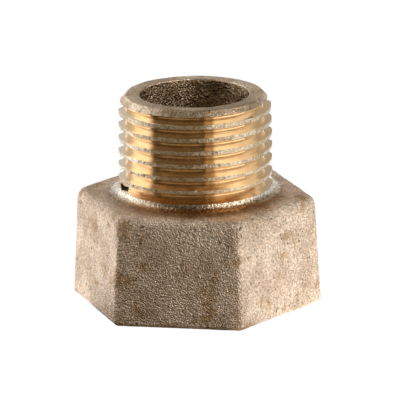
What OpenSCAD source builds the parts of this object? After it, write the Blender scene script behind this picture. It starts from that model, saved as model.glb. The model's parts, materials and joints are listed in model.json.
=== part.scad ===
// Reducing coupling: a cast brass pipe fitting with a hexagonal female end below
// and a smaller threaded male spigot above.
// +Z runs along the waterway, towards the male end. The origin is the centre of the
// female end's mouth, and one corner of the hexagon points along +X.

/* [Hexagon] */
// Width across flats at the mouth
hex_af_mouth = 30.1; // [29.8:0.1:32]
// Width across flats at the shoulder, before the edge is rounded
hex_af_top = 28.8; // [28.4:0.1:29.8]
// Height of the hexagon, from the mouth to the shoulder
hex_h = 15.2; // [14.8:0.1:18]
// Rounding of the corners and the edge at the mouth
corner_r_mouth = 0.5; // [0.3:0.1:1]
// Rounding of the corners and the edge at the shoulder
corner_r_top = 1.1; // [0.8:0.1:1.2]

/* [Female thread] */
// Major diameter of the female thread, G 3/4
socket_major_d = 26.441; // [26.2:0.001:26.6]
// Minor diameter of the female thread, G 3/4
socket_minor_d = 24.117; // [24.0:0.001:24.3]
// Depth of the socket, from the mouth to its seat
socket_depth = 12.2; // [11.5:0.1:12.6]
// Height of the mouth ring: its chamfer and the plain land above it
mouth_h = 1.5; // [1.4:0.1:2]
// Height of the plain land at the inner end of the socket
seat_land_h = 1.4; // [1:0.1:2]

/* [Male thread] */
// Major diameter of the male thread, G 1/2
spigot_major_d = 20.955; // [20.8:0.001:21.1]
// Minor diameter of the male thread, G 1/2
spigot_minor_d = 18.631; // [18.5:0.001:18.8]
// Height of the whole fitting
total_h = 29.1; // [28.4:0.1:34]
// Height of the collar between the shoulder and the male thread
collar_h = 1.3; // [1.1:0.1:2]
// Diameter of the collar's sloping foot where it meets the shoulder
collar_base_d = 26; // [24.4:0.1:26]
// Diameter of the collar above its foot
collar_waist_d = 21.9; // [21.4:0.1:22.6]
// Height of the collar's foot
collar_foot_h = 0.6; // [0.4:0.1:0.6]
// Height of the plain nose above the male thread
nose_h = 1.7; // [1.6:0.1:2.2]
// Width and height of the chamfer on the nose's outer edge
nose_chamfer_w = 1.1; // [0.6:0.1:1.3]
nose_chamfer_h = 1.2; // [0.6:0.1:1.2]
// Turn of the male thread about the axis
male_phase = 207; // [0:1:359]

/* [Waterway] */
// Diameter of the bore through the spigot
bore_d = 15; // [13:0.1:15.5]

/* [Hidden] */

$fn = 96;
// Both threads are parallel pipe threads with 14 turns to the inch and 55 degree flanks
pitch = 25.4 / 14;
flank_slope = tan(55 / 2);
// Straight segments in each turn of a thread, and how thin its ridge is where it ends
thread_segments = 48;
thread_end_h = 0.02;
// How far each thread ridge runs into the wall that carries it
thread_bury = 0.04;
eps = 0.01;

bore_r = bore_d / 2;
socket_major_r = socket_major_d / 2;
socket_minor_r = socket_minor_d / 2;
spigot_major_r = spigot_major_d / 2;
spigot_minor_r = spigot_minor_d / 2;
nose_z = total_h - nose_h;
// The web between the socket and the waterway is a disc a little narrower than the socket
web_r = socket_minor_r - 0.25;
seat_land_z = socket_depth - seat_land_h;
// The chamfer at the mouth starts just inside the female thread's major diameter
chamfer_r = socket_major_r - 0.12;
collar_land_h = 0.4;

cast_brass = [0.72, 0.60, 0.45];
cut_brass = [0.80, 0.62, 0.33];

// A ball whose poles lie exactly on its axis
module ball(r) {
    rotate_extrude($fn = 32)
        intersection() {
            circle(r, $fn = 32);
            translate([0, -r]) square([r, 2 * r]);
        }
}

// Six balls at the corners of a hexagon, with the balls' outsides at the given width
module corner_balls(across_flats, r, z) {
    corner = (across_flats / 2 - r) / cos(30);
    for (i = [0:5])
        rotate(60 * i) translate([corner, 0, z]) ball(r);
}

// The outer hexagon: drafted sides, softly rounded corners and edges
module hex_solid() {
    draft = (hex_af_mouth - hex_af_top) / hex_h;
    hull() {
        corner_balls(hex_af_mouth - draft * corner_r_mouth, corner_r_mouth, corner_r_mouth);
        corner_balls(hex_af_top + draft * corner_r_top, corner_r_top, hex_h - corner_r_top);
    }
}

// The hexagonal wall of the female end, with room for its thread and for the web
module hex_body() {
    color(cast_brass)
        difference() {
            hex_solid();
            translate([0, 0, -1]) cylinder(r = socket_major_r, h = seat_land_z + 1);
            translate([0, 0, seat_land_z - eps]) cylinder(r = socket_minor_r, h = seat_land_h + eps);
            translate([0, 0, socket_depth]) cylinder(r = web_r, h = hex_h);
        }
}

// The ring at the mouth, chamfered to lead the pipe in
module mouth_rim() {
    chamfer_h = chamfer_r - socket_minor_r;
    color(cut_brass)
        rotate_extrude()
            polygon([
                [chamfer_r, 0], [socket_major_r, 0], [socket_major_r, mouth_h],
                [socket_minor_r, mouth_h], [socket_minor_r, chamfer_h]
            ]);
}

// A right-hand helical ridge between two plain lands. It rises from wall_r to crest_r,
// which may lie inside or outside wall_r, and it grows out of the lower land and runs out
// into the upper one, because no point of its outline passes z_low or z_high.
module thread_ridge(wall_r, crest_r, z_low, z_high, phase) {
    outward = sign(crest_r - wall_r);
    flank = abs(crest_r - wall_r) * flank_slope;
    half_crest = (pitch - 2 * flank) / 4;
    half_base = half_crest + flank;
    root_r = wall_r - outward * thread_bury;
    steps = ceil((z_high - z_low + 2 * half_base) / pitch * thread_segments);
    function kept_low(z) = min(max(z, z_low), z_high - thread_end_h);
    function kept_high(z) = min(max(z, z_low + thread_end_h), z_high);
    function ring(i) =
        let (
            a = phase + 360 * i / thread_segments,
            z = z_low - half_base + pitch * i / thread_segments
        )
        [
            for (p = [
                [root_r, kept_low(z - half_base)], [crest_r, kept_low(z - half_crest)],
                [crest_r, kept_high(z + half_crest)], [root_r, kept_high(z + half_base)]
            ])
            [p[0] * cos(a), p[0] * sin(a), p[1]]
        ];
    last = 4 * steps;
    sides = [
        for (i = [0:steps - 1]) for (j = [0:3])
            let (k = (j + 1) % 4)
            [4 * i + j, 4 * i + k, 4 * i + 4 + k, 4 * i + 4 + j]
    ];
    ends = [[3, 2, 1, 0], [last, last + 1, last + 2, last + 3]];
    faces = concat(sides, ends);
    turned = [for (f = faces) [f[3], f[2], f[1], f[0]]];
    polyhedron([for (i = [0:steps]) each ring(i)], outward > 0 ? turned : faces, convexity = 10);
}

// The ridge of the female thread, inside the hexagonal wall
module female_thread() {
    color(cut_brass)
        thread_ridge(socket_major_r, socket_minor_r, mouth_h, seat_land_z, 0);
}

// The web that closes the socket down to the waterway; its lower face is the socket's seat
module shoulder() {
    color(cast_brass)
        translate([0, 0, socket_depth])
            difference() {
                cylinder(r = web_r, h = hex_h - socket_depth);
                translate([0, 0, -1]) cylinder(r = bore_r, h = hex_h);
            }
}

// The flared ring where the spigot grows out of the shoulder: a foot that slopes down onto
// the shoulder, a steeper waist and a plain land on top
module neck_collar() {
    color(cast_brass)
        translate([0, 0, hex_h])
            rotate_extrude()
                polygon([
                    [spigot_minor_r, 0], [collar_base_d / 2, 0],
                    [collar_waist_d / 2, collar_foot_h],
                    [spigot_major_r, collar_h - collar_land_h],
                    [spigot_major_r, collar_h], [spigot_minor_r, collar_h]
                ]);
}

// The plain tube under the male thread
module male_spigot() {
    color(cut_brass)
        translate([0, 0, hex_h])
            difference() {
                cylinder(r = spigot_minor_r, h = nose_z - hex_h);
                translate([0, 0, -1]) cylinder(r = bore_r, h = total_h);
            }
}

// The ridge of the male thread, round the spigot
module male_thread() {
    color(cut_brass)
        thread_ridge(spigot_minor_r, spigot_major_r, hex_h + collar_h, nose_z, male_phase);
}

// The spigot's end: a short plain land, a chamfered outer edge and a flat rim
module spigot_nose() {
    color(cast_brass)
        rotate_extrude()
            polygon([
                [bore_r, nose_z], [spigot_major_r, nose_z],
                [spigot_major_r, total_h - nose_chamfer_h],
                [spigot_major_r - nose_chamfer_w, total_h], [bore_r, total_h]
            ]);
}

hex_body();
mouth_rim();
female_thread();
shoulder();
neck_collar();
male_spigot();
male_thread();
spigot_nose();
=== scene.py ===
"""Looks of a cast brass reducing coupling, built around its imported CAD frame.

Lengths in this script are millimetres in the frame of the CAD part, and become
metres only when a mesh, a light or the camera is made.
"""

import json
import math

import bmesh
import bpy
import numpy as np
from mathutils import Matrix, Vector


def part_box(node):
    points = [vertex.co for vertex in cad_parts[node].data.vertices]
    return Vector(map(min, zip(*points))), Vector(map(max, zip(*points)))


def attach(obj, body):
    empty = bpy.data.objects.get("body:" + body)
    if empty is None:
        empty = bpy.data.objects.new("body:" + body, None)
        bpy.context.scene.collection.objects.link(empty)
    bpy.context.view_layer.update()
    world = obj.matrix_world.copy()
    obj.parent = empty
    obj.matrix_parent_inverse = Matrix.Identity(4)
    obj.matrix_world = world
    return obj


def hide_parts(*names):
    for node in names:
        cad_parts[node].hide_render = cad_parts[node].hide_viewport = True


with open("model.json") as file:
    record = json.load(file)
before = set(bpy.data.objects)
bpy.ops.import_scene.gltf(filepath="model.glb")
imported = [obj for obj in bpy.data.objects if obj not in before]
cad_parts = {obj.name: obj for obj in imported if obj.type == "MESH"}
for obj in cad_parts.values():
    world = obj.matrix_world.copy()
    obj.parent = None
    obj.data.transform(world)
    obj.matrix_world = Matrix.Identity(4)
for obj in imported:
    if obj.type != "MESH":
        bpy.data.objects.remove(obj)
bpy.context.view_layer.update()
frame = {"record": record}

MM = 0.001


# ---------------------------------------------------------------- sizes from the frame

def mount_radius(name):
    """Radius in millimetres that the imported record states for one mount."""
    mounts = {m["name"]: m for m in frame["record"]["mounts"]}
    return mounts[name]["dims"]["r_mm"]


def top_of(node):
    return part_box(node)[1].z / MM


def bottom_of(node):
    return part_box(node)[0].z / MM


HEX_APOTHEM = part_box("hex_body")[1].y / MM
HEX_HEIGHT = top_of("hex_body")
TOTAL_HEIGHT = top_of("spigot_nose")
BORE_R = mount_radius("waterway")
CREST_R = mount_radius("male_thread")
SOCKET_R = mount_radius("female_thread")
SEAT_Z = bottom_of("shoulder")

# Both threads have 14 turns to the inch and flanks at 27.5 degrees to the radius
PITCH = 25.4 / 14
FLANK_SLOPE = math.tan(math.radians(27.5))
THREAD_DEPTH = 0.6403 * PITCH

# How far each flat of the hexagon leans in over its whole height
HEX_DRAFT = 0.65

# Rounding of the hexagon's edges and corners, at the mouth and at the shoulder
EDGE_R_MOUTH = 0.6
EDGE_R_TOP = 1.15
CORNER_R_MOUTH = 0.8
CORNER_R_TOP = 1.3

# The shoulder slopes up between these two radii, from its foot to the collar's waist
FOOT_R = 13.2
WAIST_R = 10.95
FOOT_RISE = 0.4

# Cylinder of the hexagon's inner wall, just outside the thread's deepest point, and the
# hidden one under the collar
LINING_R = SOCKET_R + THREAD_DEPTH + 0.08
UNDER_COLLAR_R = CREST_R - 0.2

# The spigot: crest radius at the nose and at the collar, where the threaded barrel ends
# above the hexagon, the nose's chamfer, and the rounding of the bore's lip
CREST_TOP_R = CREST_R - 0.06
CREST_LOW_R = CREST_R + 0.03
BARREL_LOW_Z = HEX_HEIGHT + 1.5
NOSE_W = 1.04
NOSE_H = 1.15
LIP_R = 0.2

# The collar's flare below the barrel: how far out and how far down each point lies
FLARE = (
    (0.02, 0.14), (0.1, 0.42), (0.22, 0.7), (0.42, 0.94), (0.72, 1.12), (1.1, 1.24), (1.5, 1.33),
)

# Columns round every lathed piece: points on each rounded corner, and along each flat
CORNER_POINTS = 12
FLAT_POINTS = 70
COLUMNS = 6 * (CORNER_POINTS + FLAT_POINTS)

# Steps in each turn of a thread
THREAD_STEPS = 360


# ---------------------------------------------------------------- noise

class Noise:
    """Smooth gradient noise over space, from about -1 to 1, the same on every run."""

    # The noise repeats after this many bumps, and the gain stretches it to -1 to 1
    REPEAT = 256
    GAIN = 1.6

    def __init__(self, seed):
        rng = np.random.default_rng(seed)
        self.order = rng.permutation(self.REPEAT)
        slopes = rng.normal(size=(self.REPEAT, 3))
        self.slopes = slopes / np.linalg.norm(slopes, axis=1)[:, None]

    def __call__(self, points, size):
        """The noise at each point, with bumps about one size across."""
        scaled = points / np.asarray(size, float)
        cell = np.floor(scaled).astype(int)
        part = scaled - cell
        ease = part**3 * (part * (part * 6 - 15) + 10)
        total = np.zeros(len(points))
        for corner in np.ndindex(2, 2, 2):
            x, y, z = ((cell + corner) % self.REPEAT).T
            mixed = self.order[(self.order[x] + y) % self.REPEAT]
            mixed = self.order[(mixed + z) % self.REPEAT]
            weight = np.prod(np.where(corner, ease, 1 - ease), axis=1)
            total += weight * np.sum(self.slopes[mixed] * (part - corner), axis=1)
        return total * self.GAIN


# ---------------------------------------------------------------- mesh helpers

def make_object(name, points, faces):
    """A new object from points in millimetres and the faces between them."""
    mesh = bpy.data.meshes.new(name)
    mesh.from_pydata((np.asarray(points) * MM).tolist(), [], faces)
    mesh.update()
    piece = bpy.data.objects.new(name, mesh)
    bpy.context.scene.collection.objects.link(piece)
    return piece


def ring_faces(rows, columns):
    """Quads of a grid that closes on itself both ways, facing out of a ring."""
    row, column = np.meshgrid(np.arange(rows), np.arange(columns), indexing="ij")
    this, above = row * columns, (row + 1) % rows * columns
    after = (column + 1) % columns
    quads = np.stack([this + column, this + after, above + after, above + column], -1)
    return quads.reshape(-1, 4).tolist()


def grid_normals(rows):
    """Unit normals of a grid of points that closes on itself both ways."""
    upward = np.roll(rows, -1, 0) - np.roll(rows, 1, 0)
    sideways = np.roll(rows, -1, 1) - np.roll(rows, 1, 1)
    normal = np.cross(sideways, upward)
    return normal / np.maximum(np.linalg.norm(normal, axis=-1, keepdims=True), 1e-12)


def hex_ring(apothem, corner_r, z):
    """One ring of a rounded hexagon with a corner on +X."""
    reach = (apothem - corner_r) / math.cos(math.pi / 6)
    sides = []
    for k in range(6):
        middle = math.radians(60 * k)
        turn = middle + np.radians(np.linspace(-30, 30, CORNER_POINTS))
        centre = reach * np.array([math.cos(middle), math.sin(middle)])
        sides.append(centre + corner_r * np.stack([np.cos(turn), np.sin(turn)], -1))
    ring = []
    for k, arc in enumerate(sides):
        after = sides[(k + 1) % 6][0]
        share = np.linspace(0, 1, FLAT_POINTS + 2)[1:-1, None]
        ring += [arc, arc[-1] + share * (after - arc[-1])]
    ring = np.concatenate(ring)
    return np.column_stack([ring, np.full(len(ring), z)])


# Directions of the columns, taken from the hexagon so that every piece shares them
MOUTH_RING = hex_ring(HEX_APOTHEM, CORNER_R_MOUTH, 0)
COLUMN_ANGLES = np.arctan2(MOUTH_RING[:, 1], MOUTH_RING[:, 0])


def circle_ring(r, z):
    """One ring of a circle, with its points in the directions of the columns."""
    x, y = r * np.cos(COLUMN_ANGLES), r * np.sin(COLUMN_ANGLES)
    return np.column_stack([x, y, np.full(COLUMNS, z)])


def between(ring_a, ring_b, count):
    """Rings spaced evenly between two rings, without either of them."""
    return [ring_a + (ring_b - ring_a) * t for t in np.linspace(0, 1, count + 2)[1:-1]]


def filled(corners, spacing):
    """Points no further apart than spacing along a line of (radius, z) corners."""
    corners = np.asarray(corners, float)
    line = [corners[:1]]
    for start, end in zip(corners[:-1], corners[1:]):
        count = max(1, math.ceil(np.linalg.norm(end - start) / spacing))
        line.append(start + (end - start) * np.linspace(0, 1, count + 1)[1:, None])
    return np.concatenate(line)


def arc(centre, r, start, end, count):
    """Points of an arc in the (radius, z) plane, angles in degrees from outward."""
    turn = np.radians(np.linspace(start, end, count))
    return np.asarray(centre) + r * np.stack([np.cos(turn), np.sin(turn)], -1)


# ---------------------------------------------------------------- cast skin

LUMPS, RIPPLE, GRAIN, SAND, STREAKS = (Noise(seed) for seed in (11, 12, 13, 14, 15))

# What the sand mould prints on the skin, coarse to fine: noise, bump size and height
SKIN_LAYERS = ((LUMPS, 7.0, 0.07), (RIPPLE, 2.4, 0.04), (GRAIN, 0.9, 0.026), (SAND, 0.42, 0.02))

# Radii of the scattered pits, and their depths as shares of the radius
PIT_RADII = (0.10, 0.30)
PIT_DEPTHS = (0.15, 0.45)

# Upright marks on the collar: how wide and how deep they are, and how much their height
# is squeezed before the noise is taken, which draws them out upwards
STREAK_WIDTH = 0.28
STREAK_DEPTH = 0.012
STREAK_SQUEEZE = (1, 1, 0.15)

# Small cavities that trapped sand left, as (centre, radius, depth)
VOIDS = (
    ((-7.54, -7.23, 19.48), 0.16, 0.2),
    ((-7.22, -7.55, 17.76), 0.18, 0.2),
    ((-10.1, -3.6, 17.5), 0.25, 0.3),
)

# The largest cavity, at the foot of the spigot, as its centre and half-widths
SAND_HOLE = (-9.25, -5.1, 16.85)
SAND_HOLE_SIZE = (1.0, 1.25, 0.45)


def cast_height(points):
    """How far the sand mould left the skin proud of its true place, in millimetres."""
    return sum(height * noise(points, size) for noise, size, height in SKIN_LAYERS)


def pits(points, pit_list):
    """Depth of the small round pits in the skin at each point."""
    sunk = np.zeros(len(points))
    for centre, r, depth in pit_list:
        square = np.sum((points - centre) ** 2, axis=1)
        near = square < (3 * r) ** 2
        sunk[near] += depth * np.exp(-square[near] ** 2 / r**4)
    return sunk


def cast_skin(rows, weight, pit_count, seed, streaks=None):
    """The grid with its rows pushed along their normals by the cast skin's height.

    weight is how rough each row is, and pits fall only on rows that are more than half
    rough. streaks is how strongly each row is scored by short upright marks.
    """
    shape = rows.shape
    points = rows.reshape(-1, 3)
    normals = grid_normals(rows).reshape(-1, 3)
    share = np.repeat(np.asarray(weight, float), shape[1])
    rng = np.random.default_rng(seed)
    chosen = points[rng.choice(np.flatnonzero(share > 0.5), pit_count)]
    radii = rng.uniform(*PIT_RADII, pit_count)
    depths = radii * rng.uniform(*PIT_DEPTHS, pit_count)
    scattered = list(zip(chosen, radii, depths))
    height = share * (cast_height(points) - pits(points, scattered))
    height -= (share > 0) * pits(points, VOIDS)
    if streaks is not None:
        marks = STREAKS(points * STREAK_SQUEEZE, STREAK_WIDTH)
        height += STREAK_DEPTH * np.repeat(np.asarray(streaks, float), shape[1]) * marks
    return (points + normals * height[:, None]).reshape(shape)


# ---------------------------------------------------------------- hexagon

def shoulder_rise(ring):
    """The ring lifted onto the shoulder, which slopes up towards the collar."""
    r = np.hypot(ring[:, 0], ring[:, 1])
    share = np.clip((FOOT_R - r) / (FOOT_R - WAIST_R), 0, 1.2)
    lifted = ring.copy()
    lifted[:, 2] += FOOT_RISE * share**1.25
    return lifted


def mouth_face():
    """Rings of the flat face at the mouth, from the socket out to the rounded edge."""
    mouth = circle_ring(LINING_R + 0.05, 0)
    edge = hex_ring(HEX_APOTHEM - EDGE_R_MOUTH, CORNER_R_MOUTH * 0.5, 0)
    return [mouth, *between(mouth, edge, 10), edge]


def mouth_edge():
    """Rings of the rounded edge round the mouth face."""
    rings = []
    for turn in np.radians(np.linspace(-75, -15, 5)):
        inset = EDGE_R_MOUTH * (1 - math.cos(turn))
        corner_r = CORNER_R_MOUTH * (0.5 + 0.5 * math.cos(turn))
        z = EDGE_R_MOUTH * (1 + math.sin(turn))
        rings.append(hex_ring(HEX_APOTHEM - inset, corner_r, z))
    return rings


def drafted_flats():
    """Rings of the six flats, which lean in, with corners that get rounder upwards."""
    rings = []
    low, high = EDGE_R_MOUTH, HEX_HEIGHT - EDGE_R_TOP
    for z in np.linspace(low, high, round((high - low) / 0.14)):
        share = z / HEX_HEIGHT
        corner_r = CORNER_R_MOUTH + (CORNER_R_TOP - CORNER_R_MOUTH) * share**2.5
        rings.append(hex_ring(HEX_APOTHEM - HEX_DRAFT * share, corner_r, z))
    return rings


def sloping_shoulder():
    """Rings of the flats' rounded upper edge and of the shoulder inside it."""
    rings = []
    for turn in np.radians(np.linspace(9, 90, 10)):
        inset = HEX_DRAFT + EDGE_R_TOP * (1 - math.cos(turn))
        corner_r = CORNER_R_TOP - EDGE_R_TOP * (1 - math.cos(turn)) * 0.8
        z = HEX_HEIGHT - EDGE_R_TOP + EDGE_R_TOP * math.sin(turn)
        rings.append(hex_ring(HEX_APOTHEM - inset, corner_r, z))
    neck = circle_ring(UNDER_COLLAR_R, HEX_HEIGHT)
    inner = (*between(rings[-1], neck, 24), neck)
    return rings + [shoulder_rise(ring) for ring in inner]


def inner_wall():
    """Rings of the wall that the collar, the web and the socket's lining hide."""
    return [
        circle_ring(UNDER_COLLAR_R, SEAT_Z + 0.4),
        circle_ring(LINING_R, SEAT_Z + 0.2),
        circle_ring(LINING_R, 0.1),
    ]


def hex_casting():
    """The hexagonal end. Each part of its outline comes with how rough its skin is."""
    parts = (
        (mouth_face(), 0.0), (mouth_edge(), 0.6), (drafted_flats(), 1.0),
        (sloping_shoulder(), 1.0), (inner_wall(), 0.0),
    )
    grid = np.concatenate([rings for rings, _ in parts])
    rough = np.concatenate([np.full(len(rings), share) for rings, share in parts])
    skin = cast_skin(grid, rough, pit_count=260, seed=21)
    return make_object("hex_casting", skin.reshape(-1, 3), ring_faces(len(grid), COLUMNS))


# ---------------------------------------------------------------- lathed pieces

def lathe(profile):
    """Rings of a closed (radius, z) profile."""
    return np.stack([circle_ring(r, z) for r, z in profile])


# Half the width of a groove's floor, how much higher the floor is at its edges, and the
# least share of its depth that a groove has where it fades in
ROOT_W = 0.07
FLOOR_HOLLOW = 0.09
LEAST_DEPTH = 0.02


def groove_outline(root_r, open_r, share):
    """Section of a groove cut to a share of its depth: (radius, height) about its middle.

    Straight flanks run down from open_r to a narrow hollow floor near root_r.
    """
    outward = math.copysign(1, open_r - root_r)
    depth = abs(open_r - root_r) * share
    root = open_r - outward * depth
    open_w = ROOT_W + depth * FLANK_SLOPE
    side_r, side_w = (open_r + root) / 2, (open_w + ROOT_W) / 2
    floor = [
        (root + outward * FLOOR_HOLLOW * bend**2 * share, ROOT_W * bend)
        for bend in (-1, -0.6, 0, 0.6, 1)
    ]
    return [(open_r, -open_w), (side_r, -side_w), *floor, (side_r, side_w), (open_r, open_w)]


def thread_cutter(name, root_r, open_r, centre, start, turns, fade_in):
    """A closed right-hand helical body with a thread's groove profile.

    root_r and centre give the radius of the groove's floor at a height, and the groove's
    height at an angle. The groove deepens over its first fade_in turns. The faces point
    outwards only where the groove opens outwards, as the male thread's does.
    """
    steps = round(turns * THREAD_STEPS)
    sections = []
    for step in range(steps + 1):
        turn = step / THREAD_STEPS
        share = max(LEAST_DEPTH, min(1.0, turn / fade_in))
        angle = start + 2 * math.pi * turn
        z = centre(angle)
        x_share, y_share = math.cos(angle), math.sin(angle)
        outline = groove_outline(root_r(z), open_r, share * share * (3 - 2 * share))
        sections.append([(r * x_share, r * y_share, z + rise) for r, rise in outline])
    size = len(outline)
    faces = []
    for near in range(0, steps * size, size):
        far = near + size
        for i in range(size):
            j = (i + 1) % size
            faces.append((near + i, near + j, far + j, far + i))
    faces += [tuple(range(size))[::-1], tuple(steps * size + i for i in range(size))]
    return make_object(name, np.array(sections).reshape(-1, 3), faces)


def cut(piece, cutter, material):
    """Cuts one closed mesh out of another, and gives the cut faces the material."""
    cutter.data.materials.append(material)
    tool = piece.modifiers.new("cut", "BOOLEAN")
    tool.operation = "DIFFERENCE"
    tool.solver = "MANIFOLD"
    tool.material_mode = "TRANSFER"
    tool.object = cutter
    bpy.context.view_layer.update()
    seen = piece.evaluated_get(bpy.context.evaluated_depsgraph_get())
    done = bpy.data.meshes.new_from_object(seen)
    piece.modifiers.clear()
    old = piece.data
    piece.data = done
    bpy.data.meshes.remove(old)
    done.name = piece.name
    bpy.data.objects.remove(cutter)


def sand_hole():
    """A lumpy ball in the shape of the largest cavity."""
    made = bmesh.new()
    bmesh.ops.create_icosphere(made, subdivisions=3, radius=1)
    made.verts.ensure_lookup_table()
    ball = np.array([v.co for v in made.verts])
    faces = [[v.index for v in f.verts] for f in made.faces]
    made.free()
    lumpy = ball * (1 + 0.3 * GRAIN(ball, 0.8))[:, None]
    return make_object("sand_hole", lumpy * SAND_HOLE_SIZE + SAND_HOLE, faces)


# Angle where the thread faces the viewer, the height of its middle groove there, and
# how far out of square with the casting the die ran, over one radius
LEAD_ANGLE = math.radians(-80.12)
LEAD_Z = 22.46
DIE_TILT = 0.225

# The die's first turn starts this far before the front, so that it begins out of sight
DIE_START = LEAD_ANGLE - math.radians(90) - 6 * math.pi


def male_groove_z(angle):
    """Height of the male thread's groove at an angle that counts whole turns."""
    turned = angle - LEAD_ANGLE
    return LEAD_Z + PITCH * turned / (2 * math.pi) - DIE_TILT * math.sin(turned)


def male_root_r(z):
    """Radius of the male groove's floor, a little shallower towards the nose."""
    return CREST_R - THREAD_DEPTH + 0.045 * (z - 22.0) / 6.0


def tap_z(angle):
    """Height of the female thread's groove at an angle that counts whole turns."""
    return PITCH * (angle / (2 * math.pi) - 1)


def tap_root_r(z):
    """Radius of the female groove's floor, the same at every height."""
    return SOCKET_R + THREAD_DEPTH


def die():
    """The cutter of the male thread."""
    return thread_cutter(
        "die", male_root_r, CREST_R + 0.15, male_groove_z, DIE_START, turns=7.4, fade_in=0.14)


def tap():
    """The cutter of the female thread.

    Known fault: its faces point inwards, so the cut leaves the groove as a hollow inside
    the sleeve's wall, and the socket looks smooth.
    """
    return thread_cutter("tap", tap_root_r, SOCKET_R - 0.05, tap_z, 0.3, turns=6.6, fade_in=0.1)


def spigot_casting(rim, cored, worn, drawn):
    """The spigot: cored bore, flat rim, chamfered nose, blank for the thread, and collar."""
    top = TOTAL_HEIGHT
    nose_r, nose_z = CREST_TOP_R - NOSE_W, top - NOSE_H
    bore = filled([(BORE_R, SEAT_Z), (BORE_R, top - LIP_R)], 0.26)
    lip = arc((BORE_R + LIP_R, top - LIP_R), LIP_R, 165, 90, 3)
    flat = filled([(BORE_R + 0.34, top), (nose_r - 0.15, top)], 0.14)
    nose = filled([
        (nose_r, top - 0.04), (nose_r + 0.12, top - 0.14),
        (CREST_TOP_R - 0.13, nose_z + 0.16), (CREST_TOP_R - 0.03, nose_z - 0.08),
    ], 0.13)
    barrel = filled([(CREST_TOP_R, nose_z - 0.25), (CREST_LOW_R, BARREL_LOW_Z)], 0.14)
    flare = filled([(CREST_LOW_R + out, BARREL_LOW_Z - down) for out, down in FLARE], 0.17)
    base = [
        (CREST_LOW_R + FLARE[-1][0], HEX_HEIGHT - 0.35), (BORE_R + 0.9, HEX_HEIGHT - 0.35),
        (BORE_R + 0.9, SEAT_Z + 0.9),
    ]

    # Each part of the outline, how rough its skin is, and the slot of its material
    parts = (
        (bore, 1.5, 1), (lip, 1.0, 0), (flat, 0.6, 0), (nose, 0.6, 0),
        (barrel, 1.3, 2), (flare, 0.6, 3), (base, 0.0, 0),
    )
    profile = np.concatenate([points for points, _, _ in parts])
    rough = np.concatenate([np.full(len(points), share) for points, share, _ in parts])
    slots = np.concatenate([np.full(len(points), slot) for points, _, slot in parts])
    # The bore's first ring stays true where it meets the web, and its last band of faces
    # ends on the lip
    rough[0] = 0
    slots[len(bore)] = 1

    flare_start = len(profile) - len(base) - len(flare)
    streaks = np.zeros(len(profile))
    streaks[flare_start - 3:flare_start + len(flare)] = 1

    grid = cast_skin(
        lathe(profile)[::-1], rough[::-1], pit_count=110, seed=22, streaks=streaks[::-1])
    piece = make_object("spigot_casting", grid.reshape(-1, 3), ring_faces(len(profile), COLUMNS))
    for material in (rim, cored, worn, drawn):
        piece.data.materials.append(material)
    face_slots = np.repeat(slots[::-1], COLUMNS).astype(np.int32)
    piece.data.polygons.foreach_set("material_index", face_slots)
    return piece


def socket_sleeve():
    """The female end's lining: mouth chamfer and straight wall, for the tap to cut.

    Known fault: its faces point into the metal.
    """
    outer_r = SOCKET_R + THREAD_DEPTH + 0.07
    mouth_r = outer_r + 0.06
    chamfer_top = (SOCKET_R, mouth_r - SOCKET_R)
    profile = np.concatenate([
        filled([(mouth_r, 0), chamfer_top], 0.16),
        filled([chamfer_top, (SOCKET_R, SEAT_Z)], 0.3)[1:],
        [(outer_r, SEAT_Z), (outer_r, 0.1)],
    ])
    grid = lathe(profile)
    return make_object("socket_thread", grid.reshape(-1, 3), ring_faces(len(profile), COLUMNS))


def socket_web():
    """The flat seat at the socket's inner end, rounded where the bore begins."""
    outer_r = SOCKET_R + THREAD_DEPTH
    edge_r = 0.3
    seat = filled([(outer_r, SEAT_Z), (BORE_R + edge_r, SEAT_Z)], 0.2)
    profile = np.concatenate([
        seat, arc((BORE_R + edge_r, SEAT_Z + edge_r), edge_r, 270, 180, 4)[1:],
        [(BORE_R + 0.05, SEAT_Z + 0.6), (outer_r, SEAT_Z + 0.15)],
    ])
    grid = lathe(profile)[::-1]
    return make_object("socket_web", grid.reshape(-1, 3), ring_faces(len(profile), COLUMNS))


# ---------------------------------------------------------------- materials

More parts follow.
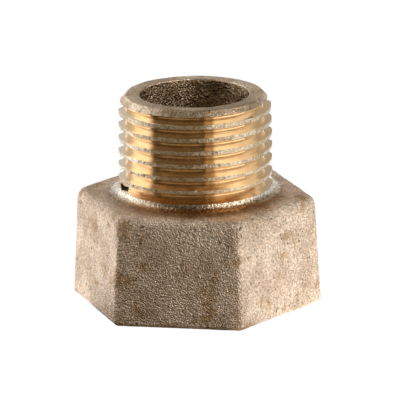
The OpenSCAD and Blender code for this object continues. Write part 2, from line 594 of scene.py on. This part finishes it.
class Shader:
    """A node material with short calls for the nodes that this script uses."""

    def __init__(self, name):
        self.material = bpy.data.materials.new(name)
        self.material.use_nodes = True
        self.tree = self.material.node_tree
        self.bsdf = self.tree.nodes["Principled BSDF"]
        self.place = self.tree.nodes.new("ShaderNodeTexCoord").outputs["Object"]

    def link(self, source, target):
        self.tree.links.new(source, target)

    def node(self, kind, **settings):
        made = self.tree.nodes.new(kind)
        for key, value in settings.items():
            setattr(made, key, value)
        return made

    def noise(self, size, detail, rough):
        """Noise with features about size millimetres across."""
        made = self.node("ShaderNodeTexNoise")
        made.inputs["Scale"].default_value = 1 / (size * MM)
        made.inputs["Detail"].default_value = detail
        made.inputs["Roughness"].default_value = rough
        self.link(self.place, made.inputs["Vector"])
        return made.outputs["Fac"]

    def cells(self, size):
        """Rounded grains about size millimetres across."""
        made = self.node("ShaderNodeTexVoronoi")
        made.inputs["Scale"].default_value = 1 / (size * MM)
        self.link(self.place, made.inputs["Vector"])
        return made.outputs["Distance"]

    def radius(self, reach, forward=0.0):
        """Distance from the axis as a share of reach, both in millimetres.

        forward moves the centre that many millimetres towards the front face.
        """
        x, y = forward * MM * math.cos(LEAD_ANGLE), forward * MM * math.sin(LEAD_ANGLE)
        moved = self.node("ShaderNodeVectorMath", operation="SUBTRACT")
        self.link(self.place, moved.inputs[0])
        moved.inputs[1].default_value = (x, y, 0)
        flat = self.node("ShaderNodeVectorMath", operation="MULTIPLY")
        self.link(moved.outputs[0], flat.inputs[0])
        flat.inputs[1].default_value = (1 / (reach * MM), 1 / (reach * MM), 0)
        length = self.node("ShaderNodeVectorMath", operation="LENGTH")
        self.link(flat.outputs[0], length.inputs[0])
        return length.outputs["Value"]

    def ramp(self, value, stops):
        """A colour or grey that follows value through (place, colour) stops."""
        made = self.node("ShaderNodeValToRGB")
        band = made.color_ramp
        while len(band.elements) < len(stops):
            band.elements.new(0.5)
        for element, (place, colour) in zip(band.elements, stops):
            element.position = place
            colour = (colour,) * 3 if isinstance(colour, (int, float)) else colour
            element.color = (*colour, 1)
        self.link(value, made.inputs["Fac"])
        return made.outputs["Color"]

    def mix(self, share, a, b, mode="MIX"):
        """Colour a blended towards b by a share; each is a value or another node's output."""
        made = self.node("ShaderNodeMix", data_type="RGBA", blend_type=mode)
        for socket, value in ((made.inputs[0], share), (made.inputs[6], a), (made.inputs[7], b)):
            if isinstance(value, (int, float)):
                socket.default_value = value
            elif isinstance(value, tuple):
                socket.default_value = (*value, 1)
            else:
                self.link(value, socket)
        return made.outputs[2]

    def math(self, operation, *values):
        """One sum on values that are numbers or other nodes' outputs."""
        made = self.node("ShaderNodeMath", operation=operation)
        for socket, value in zip(made.inputs, values):
            if isinstance(value, (int, float)):
                socket.default_value = value
            else:
                self.link(value, socket)
        return made.outputs[0]

    def glow(self, strength, colour=None):
        """Makes the material give off light in place of reflecting it."""
        made = self.node("ShaderNodeEmission")
        made.inputs["Strength"].default_value = strength
        if colour is not None:
            self.link(colour, made.inputs["Color"])
        self.link(made.outputs[0], self.tree.nodes["Material Output"].inputs["Surface"])

    def bump(self, height, depth, normal=None):
        """Bump of the given depth in millimetres."""
        made = self.node("ShaderNodeBump")
        made.inputs["Strength"].default_value = 1.0
        made.inputs["Distance"].default_value = depth * MM
        self.link(height, made.inputs["Height"])
        if normal is not None:
            self.link(normal, made.inputs["Normal"])
        return made.outputs["Normal"]


# Distance from the axis, in millimetres, that counts as 1 in a brass's painted shade
SHADE_REACH = 20


def cast_brass(
        name, pale, dull, stain, pit, rough_low, rough_high, grain, grain_depth,
        tint=None, tint_forward=0.0):
    """Sand-cast, tumbled brass skin: mottled, stained, grainy and pitted.

    grain is the size of the grains in millimetres. The last two arguments paint shade: a ramp
    that multiplies the colour by distance from a centre, and how many millimetres in front of
    the axis that centre lies.
    """
    s = Shader(name)
    patches = s.ramp(s.noise(4.0, 3, 0.55), [(0.38, dull), (0.62, pale)])
    stains = s.ramp(s.noise(2.6, 4, 0.6), [(0.54, 0.0), (0.68, 0.8)])
    colour = s.mix(stains, patches, stain)
    flecks = s.ramp(s.noise(0.27, 2, 0.6), [(0.34, 0.62), (0.66, 1.3)])
    colour = s.mix(1.0, colour, flecks, "MULTIPLY")
    # Painted shade: the colour is multiplied by a ramp of distance from a centre moved along the
    # front-back line
    if tint is not None:
        painted_shade = s.ramp(s.radius(SHADE_REACH, tint_forward), tint)
        colour = s.mix(1.0, colour, painted_shade, "MULTIPLY")
    specks = s.ramp(s.noise(0.55, 1, 0.4), [(0.25, 0.8), (0.31, 0.0)])
    colour = s.mix(specks, colour, pit)
    s.link(colour, s.bsdf.inputs["Base Color"])
    s.bsdf.inputs["Metallic"].default_value = 1.0
    rough = s.ramp(s.noise(0.5, 3, 0.6), [(0.3, rough_low), (0.7, rough_high)])
    s.link(rough, s.bsdf.inputs["Roughness"])
    coarse = s.bump(s.noise(0.42, 3, 0.65), grain_depth)
    s.link(s.bump(s.cells(grain), grain_depth, coarse), s.bsdf.inputs["Normal"])
    return s.material


def hexagon_skin():
    """Rough, sandy skin, with painted brown shade on the shoulder round the front of the collar's
    foot.
    """
    return cast_brass(
        "cast_brass", pale=(0.90, 0.69, 0.49), dull=(0.68, 0.50, 0.33), stain=(0.52, 0.30, 0.12),
        pit=(0.12, 0.07, 0.04), rough_low=0.42, rough_high=0.60, grain=0.21, grain_depth=0.14,
        # Painted shade: brown on the shoulder round the front of the collar's foot
        tint=[(0.54, (0.42, 0.28, 0.15)), (0.63, (1, 1, 1))], tint_forward=1.7,
    )


def rim_skin():
    """Smoother, yellower skin of the rim and the nose, with painted shade that makes the front of
    the rim duller.
    """
    return cast_brass(
        "rim_brass", pale=(0.97, 0.76, 0.54), dull=(0.68, 0.49, 0.31), stain=(0.44, 0.28, 0.13),
        pit=(0.12, 0.07, 0.04), rough_low=0.32, rough_high=0.48, grain=0.24, grain_depth=0.07,
        # Painted shade: grey and duller on the front of the rim and the nose
        tint=[(0.29, (0.70, 0.66, 0.58)), (0.46, (1, 1, 1))], tint_forward=4.0,
    )


def cored_skin():
    """Dark, uneven and glossy skin that the sand core left in the bore."""
    return cast_brass(
        "cored_brass", pale=(0.70, 0.50, 0.29), dull=(0.34, 0.23, 0.12), stain=(0.30, 0.18, 0.08),
        pit=(0.05, 0.03, 0.02), rough_low=0.14, rough_high=0.32, grain=0.25, grain_depth=0.13,
    )


def worn_crests():
    """Bright, worn skin that the die left on the crests of the male thread."""
    return cast_brass(
        "worn_brass", pale=(0.99, 0.78, 0.52), dull=(0.82, 0.61, 0.37), stain=(0.56, 0.38, 0.20),
        pit=(0.20, 0.13, 0.07), rough_low=0.26, rough_high=0.42, grain=0.28, grain_depth=0.05,
    )


def drawn_collar():
    """The collar's bright and shiny metal, with painted brown shade at its foot on the front."""
    return cast_brass(
        "drawn_brass", pale=(1.0, 0.88, 0.68), dull=(0.86, 0.71, 0.50), stain=(0.66, 0.48, 0.29),
        pit=(0.20, 0.13, 0.07), rough_low=0.18, rough_high=0.34, grain=0.25, grain_depth=0.05,
        # Painted shade: brown on the front of the collar's foot
        tint=[(0.56, (1, 1, 1)), (0.61, (0.50, 0.34, 0.19))], tint_forward=-1.2,
    )


def shaded_cavity():
    """Dark metal with painted shade inside the largest cavity."""
    return cast_brass(
        # Painted shade: dark colours for the inside of the cavity
        "burnt_brass", pale=(0.34, 0.23, 0.14), dull=(0.20, 0.13, 0.08), stain=(0.14, 0.09, 0.05),
        pit=(0.03, 0.02, 0.01), rough_low=0.50, rough_high=0.70, grain=0.3, grain_depth=0.10,
    )


def cut_brass():
    """Brass freshly cut by a die or a tap: bright, with fine lines along the thread."""
    bright, duller = (0.97, 0.76, 0.51), (0.90, 0.68, 0.43)
    line_size = 0.09
    s = Shader("cut_brass")
    parts = s.node("ShaderNodeSeparateXYZ")
    s.link(s.place, parts.inputs[0])
    turn = s.math("ARCTAN2", parts.outputs["Y"], parts.outputs["X"])
    rise = s.math("MULTIPLY", turn, PITCH * MM / (2 * math.pi))
    across = s.math("SUBTRACT", parts.outputs["Z"], rise)
    lines = s.node("ShaderNodeTexNoise", noise_dimensions="1D")
    s.link(s.math("MULTIPLY", across, 1 / (line_size * MM)), lines.inputs["W"])
    lines.inputs["Scale"].default_value = 1.0
    lines.inputs["Detail"].default_value = 2.0
    colour = s.ramp(s.noise(1.6, 3, 0.6), [(0.3, duller), (0.7, bright)])
    s.link(colour, s.bsdf.inputs["Base Color"])
    s.bsdf.inputs["Metallic"].default_value = 1.0
    rough = s.ramp(s.noise(0.8, 2, 0.5), [(0.3, 0.06), (0.7, 0.13)])
    s.link(rough, s.bsdf.inputs["Roughness"])
    s.link(s.bump(lines.outputs["Fac"], 0.008), s.bsdf.inputs["Normal"])
    return s.material


# ---------------------------------------------------------------- stage, light, camera

# Where the camera stands: degrees round from -Y towards +X, degrees up, its tilt to the
# side, and how far it is from the point it looks at
CAMERA_AZIMUTH = 9.88
CAMERA_ELEVATION = 16.11
CAMERA_ROLL = -0.72
CAMERA_DISTANCE = 691.3

# The point it looks at: how far right of the axis, and how high
AIM_RIGHT = 0.566
AIM_Z = 13.9

# Half the width of the floors, and the distance from the axis that counts as 1 on the
# reflected one
FLOOR_REACH = 2000
GLOW_REACH = 100

COOL = (0.96, 1.0, 1.1)
WARM = (1.0, 0.92, 0.78)
FLOOR_WARM = (1.0, 0.83, 0.6)

# Colour and brightness of the reflected floor round the fitting, close to it and further
# out. Turns 0 and 1 are straight behind the fitting, and 0.5 is straight in front of it.
FLOOR_NEAR = (
    (0.0, COOL, 1.0), (0.27, COOL, 1.5), (0.305, FLOOR_WARM, 0.12), (0.543, FLOOR_WARM, 0.12),
    (0.548, FLOOR_WARM, 0.45), (0.584, FLOOR_WARM, 0.5), (0.589, COOL, 1.3), (0.71, COOL, 1.9),
    (1.0, COOL, 1.0),
)
FLOOR_FAR = (
    (0.0, COOL, 1.5), (0.12, COOL, 1.3), (0.2, COOL, 1.6), (0.275, COOL, 1.5),
    (0.305, FLOOR_WARM, 0.15), (0.543, FLOOR_WARM, 0.15), (0.548, FLOOR_WARM, 0.45),
    (0.584, FLOOR_WARM, 0.5), (0.589, COOL, 1.1), (0.65, COOL, 1.1), (0.8, COOL, 0.87),
    (1.0, COOL, 1.5),
)


def floor_plane(name, height):
    reach = FLOOR_REACH
    corners = [(x * reach, y * reach, height) for x, y in ((-1, -1), (1, -1), (1, 1), (-1, 1))]
    floor = make_object(name, corners, [(0, 1, 2, 3)])
    return floor


def white_floor():
    """The plain white floor that the camera sees. It lights nothing."""
    floor = floor_plane("floor", -0.15)
    floor.visible_diffuse = floor.visible_glossy = floor.visible_shadow = False
    white = Shader("floor_white")
    white.glow(1.02)
    floor.data.materials.append(white.material)


def turn_from_behind(s):
    """Direction from the axis: 0 and 1 straight behind the fitting, 0.5 in front of it."""
    parts = s.node("ShaderNodeSeparateXYZ")
    s.link(s.place, parts.inputs[0])
    nearer = s.math("MULTIPLY", parts.outputs["Y"], -1.0)
    turn = s.math("ARCTAN2", parts.outputs["X"], nearer)
    return s.math("MULTIPLY_ADD", turn, 1 / (2 * math.pi), 0.5)


def floor_ramp(s, turn, stops):
    """Light of the reflected floor round the fitting, from (turn, colour, brightness)."""
    lit = [(place, tuple(part * value for part in colour)) for place, colour, value in stops]
    return s.ramp(turn, lit)


def reflected_floor():
    """The floor that the brass reflects, just under the white one and unseen by the camera.

    It is dim and warm in front, bright at the sides, and has a painted shadow, dark where the
    fitting's mouth covers it.
    """
    floor = floor_plane("floor_glow", -0.2)
    floor.visible_camera = False
    floor.rotation_euler.z = math.radians(CAMERA_AZIMUTH)
    s = Shader("floor_grey")
    turn = turn_from_behind(s)
    radius = s.radius(GLOW_REACH)
    near, far = floor_ramp(s, turn, FLOOR_NEAR), floor_ramp(s, turn, FLOOR_FAR)
    light = s.mix(s.ramp(radius, [(0.28, 0.0), (0.45, 1.0)]), near, far)
    # Painted shadow under the fitting: the glow falls almost to nothing within about 14 mm of the
    # axis
    light = s.mix(1.0, light, s.ramp(radius, [(0.135, 0.02), (0.145, 1.0)]), "MULTIPLY")
    light = s.mix(1.0, light, s.ramp(radius, [(0.7, 1.0), (1.0, 0.5)]), "MULTIPLY")
    s.glow(1.0, light)
    floor.data.materials.append(s.material)


def camera_axes():
    """The camera's level right, then its own right, up and backward directions."""
    angles = (CAMERA_AZIMUTH, CAMERA_ELEVATION, CAMERA_ROLL)
    azimuth, elevation, roll = (math.radians(angle) for angle in angles)
    back = Vector((
        math.sin(azimuth) * math.cos(elevation),
        -math.cos(azimuth) * math.cos(elevation),
        math.sin(elevation),
    ))
    right = Vector((math.cos(azimuth), math.sin(azimuth), 0))
    up = back.cross(right)
    tilted_right = right * math.cos(roll) + up * math.sin(roll)
    tilted_up = up * math.cos(roll) - right * math.sin(roll)
    return right, tilted_right, tilted_up, back


def camera():
    right, side, up, back = camera_axes()
    data = bpy.data.cameras.new("camera")
    data.lens = 453.4
    data.sensor_width = 36.0
    data.clip_start, data.clip_end = 0.01, 20
    made = bpy.data.objects.new("camera", data)
    aim = right * AIM_RIGHT * MM + Vector((0, 0, AIM_Z * MM))
    turn = Matrix((side, up, back)).transposed().to_4x4()
    made.matrix_world = Matrix.Translation(aim + back * (CAMERA_DISTANCE * MM)) @ turn
    bpy.context.scene.collection.objects.link(made)
    bpy.context.scene.camera = made


# How far the soft panels are from the point they face, and the height of that point
PANEL_DISTANCE = 600
PANEL_AIM_Z = 15

# The soft panels: name, range of azimuths, range of elevations, radiance and colour. They
# are strong at the right, weaker at the left and behind, and next to nothing in front, so
# that the thread has its dark middle.
PANELS = (
    ("right_key", (31, 91), (0, 24), 1.6, COOL),
    ("right_high", (42, 80), (24, 60), 3.8, COOL),
    ("right_back", (92, 146), (0, 20), 0.75, COOL),
    ("high_back_right", (112, 150), (46, 70), 0.65, WARM),
    ("back_low", (146, 214), (0, 7), 1.4, COOL),
    ("back", (146, 190), (8, 46), 0.4, WARM),
    ("back_left", (-170, -146), (8, 46), 0.6, COOL),
    ("left_back", (-146, -119), (0, 22), 2.0, COOL),
    ("left_back_high", (-146, -112), (22, 70), 1.05, COOL),
    ("left_strip", (-119, -79), (0, 24), 1.3, COOL),
    ("left_high", (-116, -79), (22, 60), 1.3, COOL),
    ("front_right", (16, 31), (0, 24), 0.5, COOL),
    ("front", (-76, 16), (20, 32), 0.34, WARM),
    ("front_low", (-60, 10), (0, 14), 0.4, WARM),
)


def panel(name, azimuths, elevations, radiance, colour):
    """A rectangular soft light that fills a range of azimuths and elevations in degrees.

    Azimuth is counted from the camera, positive to its right.
    """
    azimuth = math.radians(sum(azimuths) / 2)
    elevation = math.radians(sum(elevations) / 2)
    right = camera_axes()[0]
    away = Vector((0, 0, 1)).cross(right)
    level = PANEL_DISTANCE * math.cos(elevation)
    height = PANEL_DISTANCE * math.sin(elevation) + PANEL_AIM_Z
    place = right * (level * math.sin(azimuth)) + away * (-level * math.cos(azimuth))
    place += Vector((0, 0, height))
    aim = Vector((0, 0, PANEL_AIM_Z))

    half_turn = math.radians(azimuths[1] - azimuths[0]) / 2
    half_rise = math.radians(elevations[1] - elevations[0]) / 2
    size_x = 2 * PANEL_DISTANCE * (math.tan(half_turn) * math.cos(elevation))
    size_y = 2 * PANEL_DISTANCE * math.tan(half_rise)
    data = bpy.data.lights.new(name, "AREA")
    data.shape = "RECTANGLE"
    data.size, data.size_y = size_x * MM, size_y * MM
    data.energy = radiance * math.pi * size_x * size_y * MM * MM
    data.color = colour
    made = bpy.data.objects.new(name, data)
    made.location = place * MM
    made.rotation_euler = (aim - place).to_track_quat("-Z", "Y").to_euler()
    bpy.context.scene.collection.objects.link(made)


def surroundings():
    """A faint warm glow from every direction that no panel fills."""
    world = bpy.data.worlds.new("studio")
    bpy.context.scene.world = world
    world.use_nodes = True
    shade = world.node_tree.nodes["Background"]
    shade.inputs["Color"].default_value = (1.0, 0.93, 0.84, 1)
    shade.inputs["Strength"].default_value = 0.02


# ---------------------------------------------------------------- assembly

# Edges that bend more than this many degrees stay sharp
SHARP_ANGLE = 35


def finish_shape(piece):
    piece.data.shade_smooth()
    piece.data.set_sharp_from_angle(angle=math.radians(SHARP_ANGLE))


def build():
    """The four pieces: the two threads are cut, then each piece takes its CAD nodes' place."""
    cast = hexagon_skin()
    rim = rim_skin()
    cored = cored_skin()
    worn = worn_crests()
    drawn = drawn_collar()
    cavity_shade = shaded_cavity()
    groove = cut_brass()

    hexagon = hex_casting()
    hexagon.data.materials.append(cast)

    spigot = spigot_casting(rim, cored, worn, drawn)
    cut(spigot, die(), groove)
    cut(spigot, sand_hole(), cavity_shade)

    sleeve = socket_sleeve()
    sleeve.data.materials.append(groove)
    cut(sleeve, tap(), groove)

    web = socket_web()
    web.data.materials.append(groove)

    for piece, nodes, slot in (
        (hexagon, ("hex_body",), "cast_brass"),
        (spigot, ("neck_collar", "male_spigot", "male_thread", "spigot_nose"), "cut_brass"),
        (sleeve, ("mouth_rim", "female_thread"), "cut_brass"),
        (web, ("shoulder",), "cast_brass"),
    ):
        finish_shape(piece)
        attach(piece, "root")
        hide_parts(*nodes)


camera()
white_floor()
reflected_floor()
for row in PANELS:
    panel(*row)
surroundings()
bpy.context.scene.view_settings.view_transform = "Standard"
build()
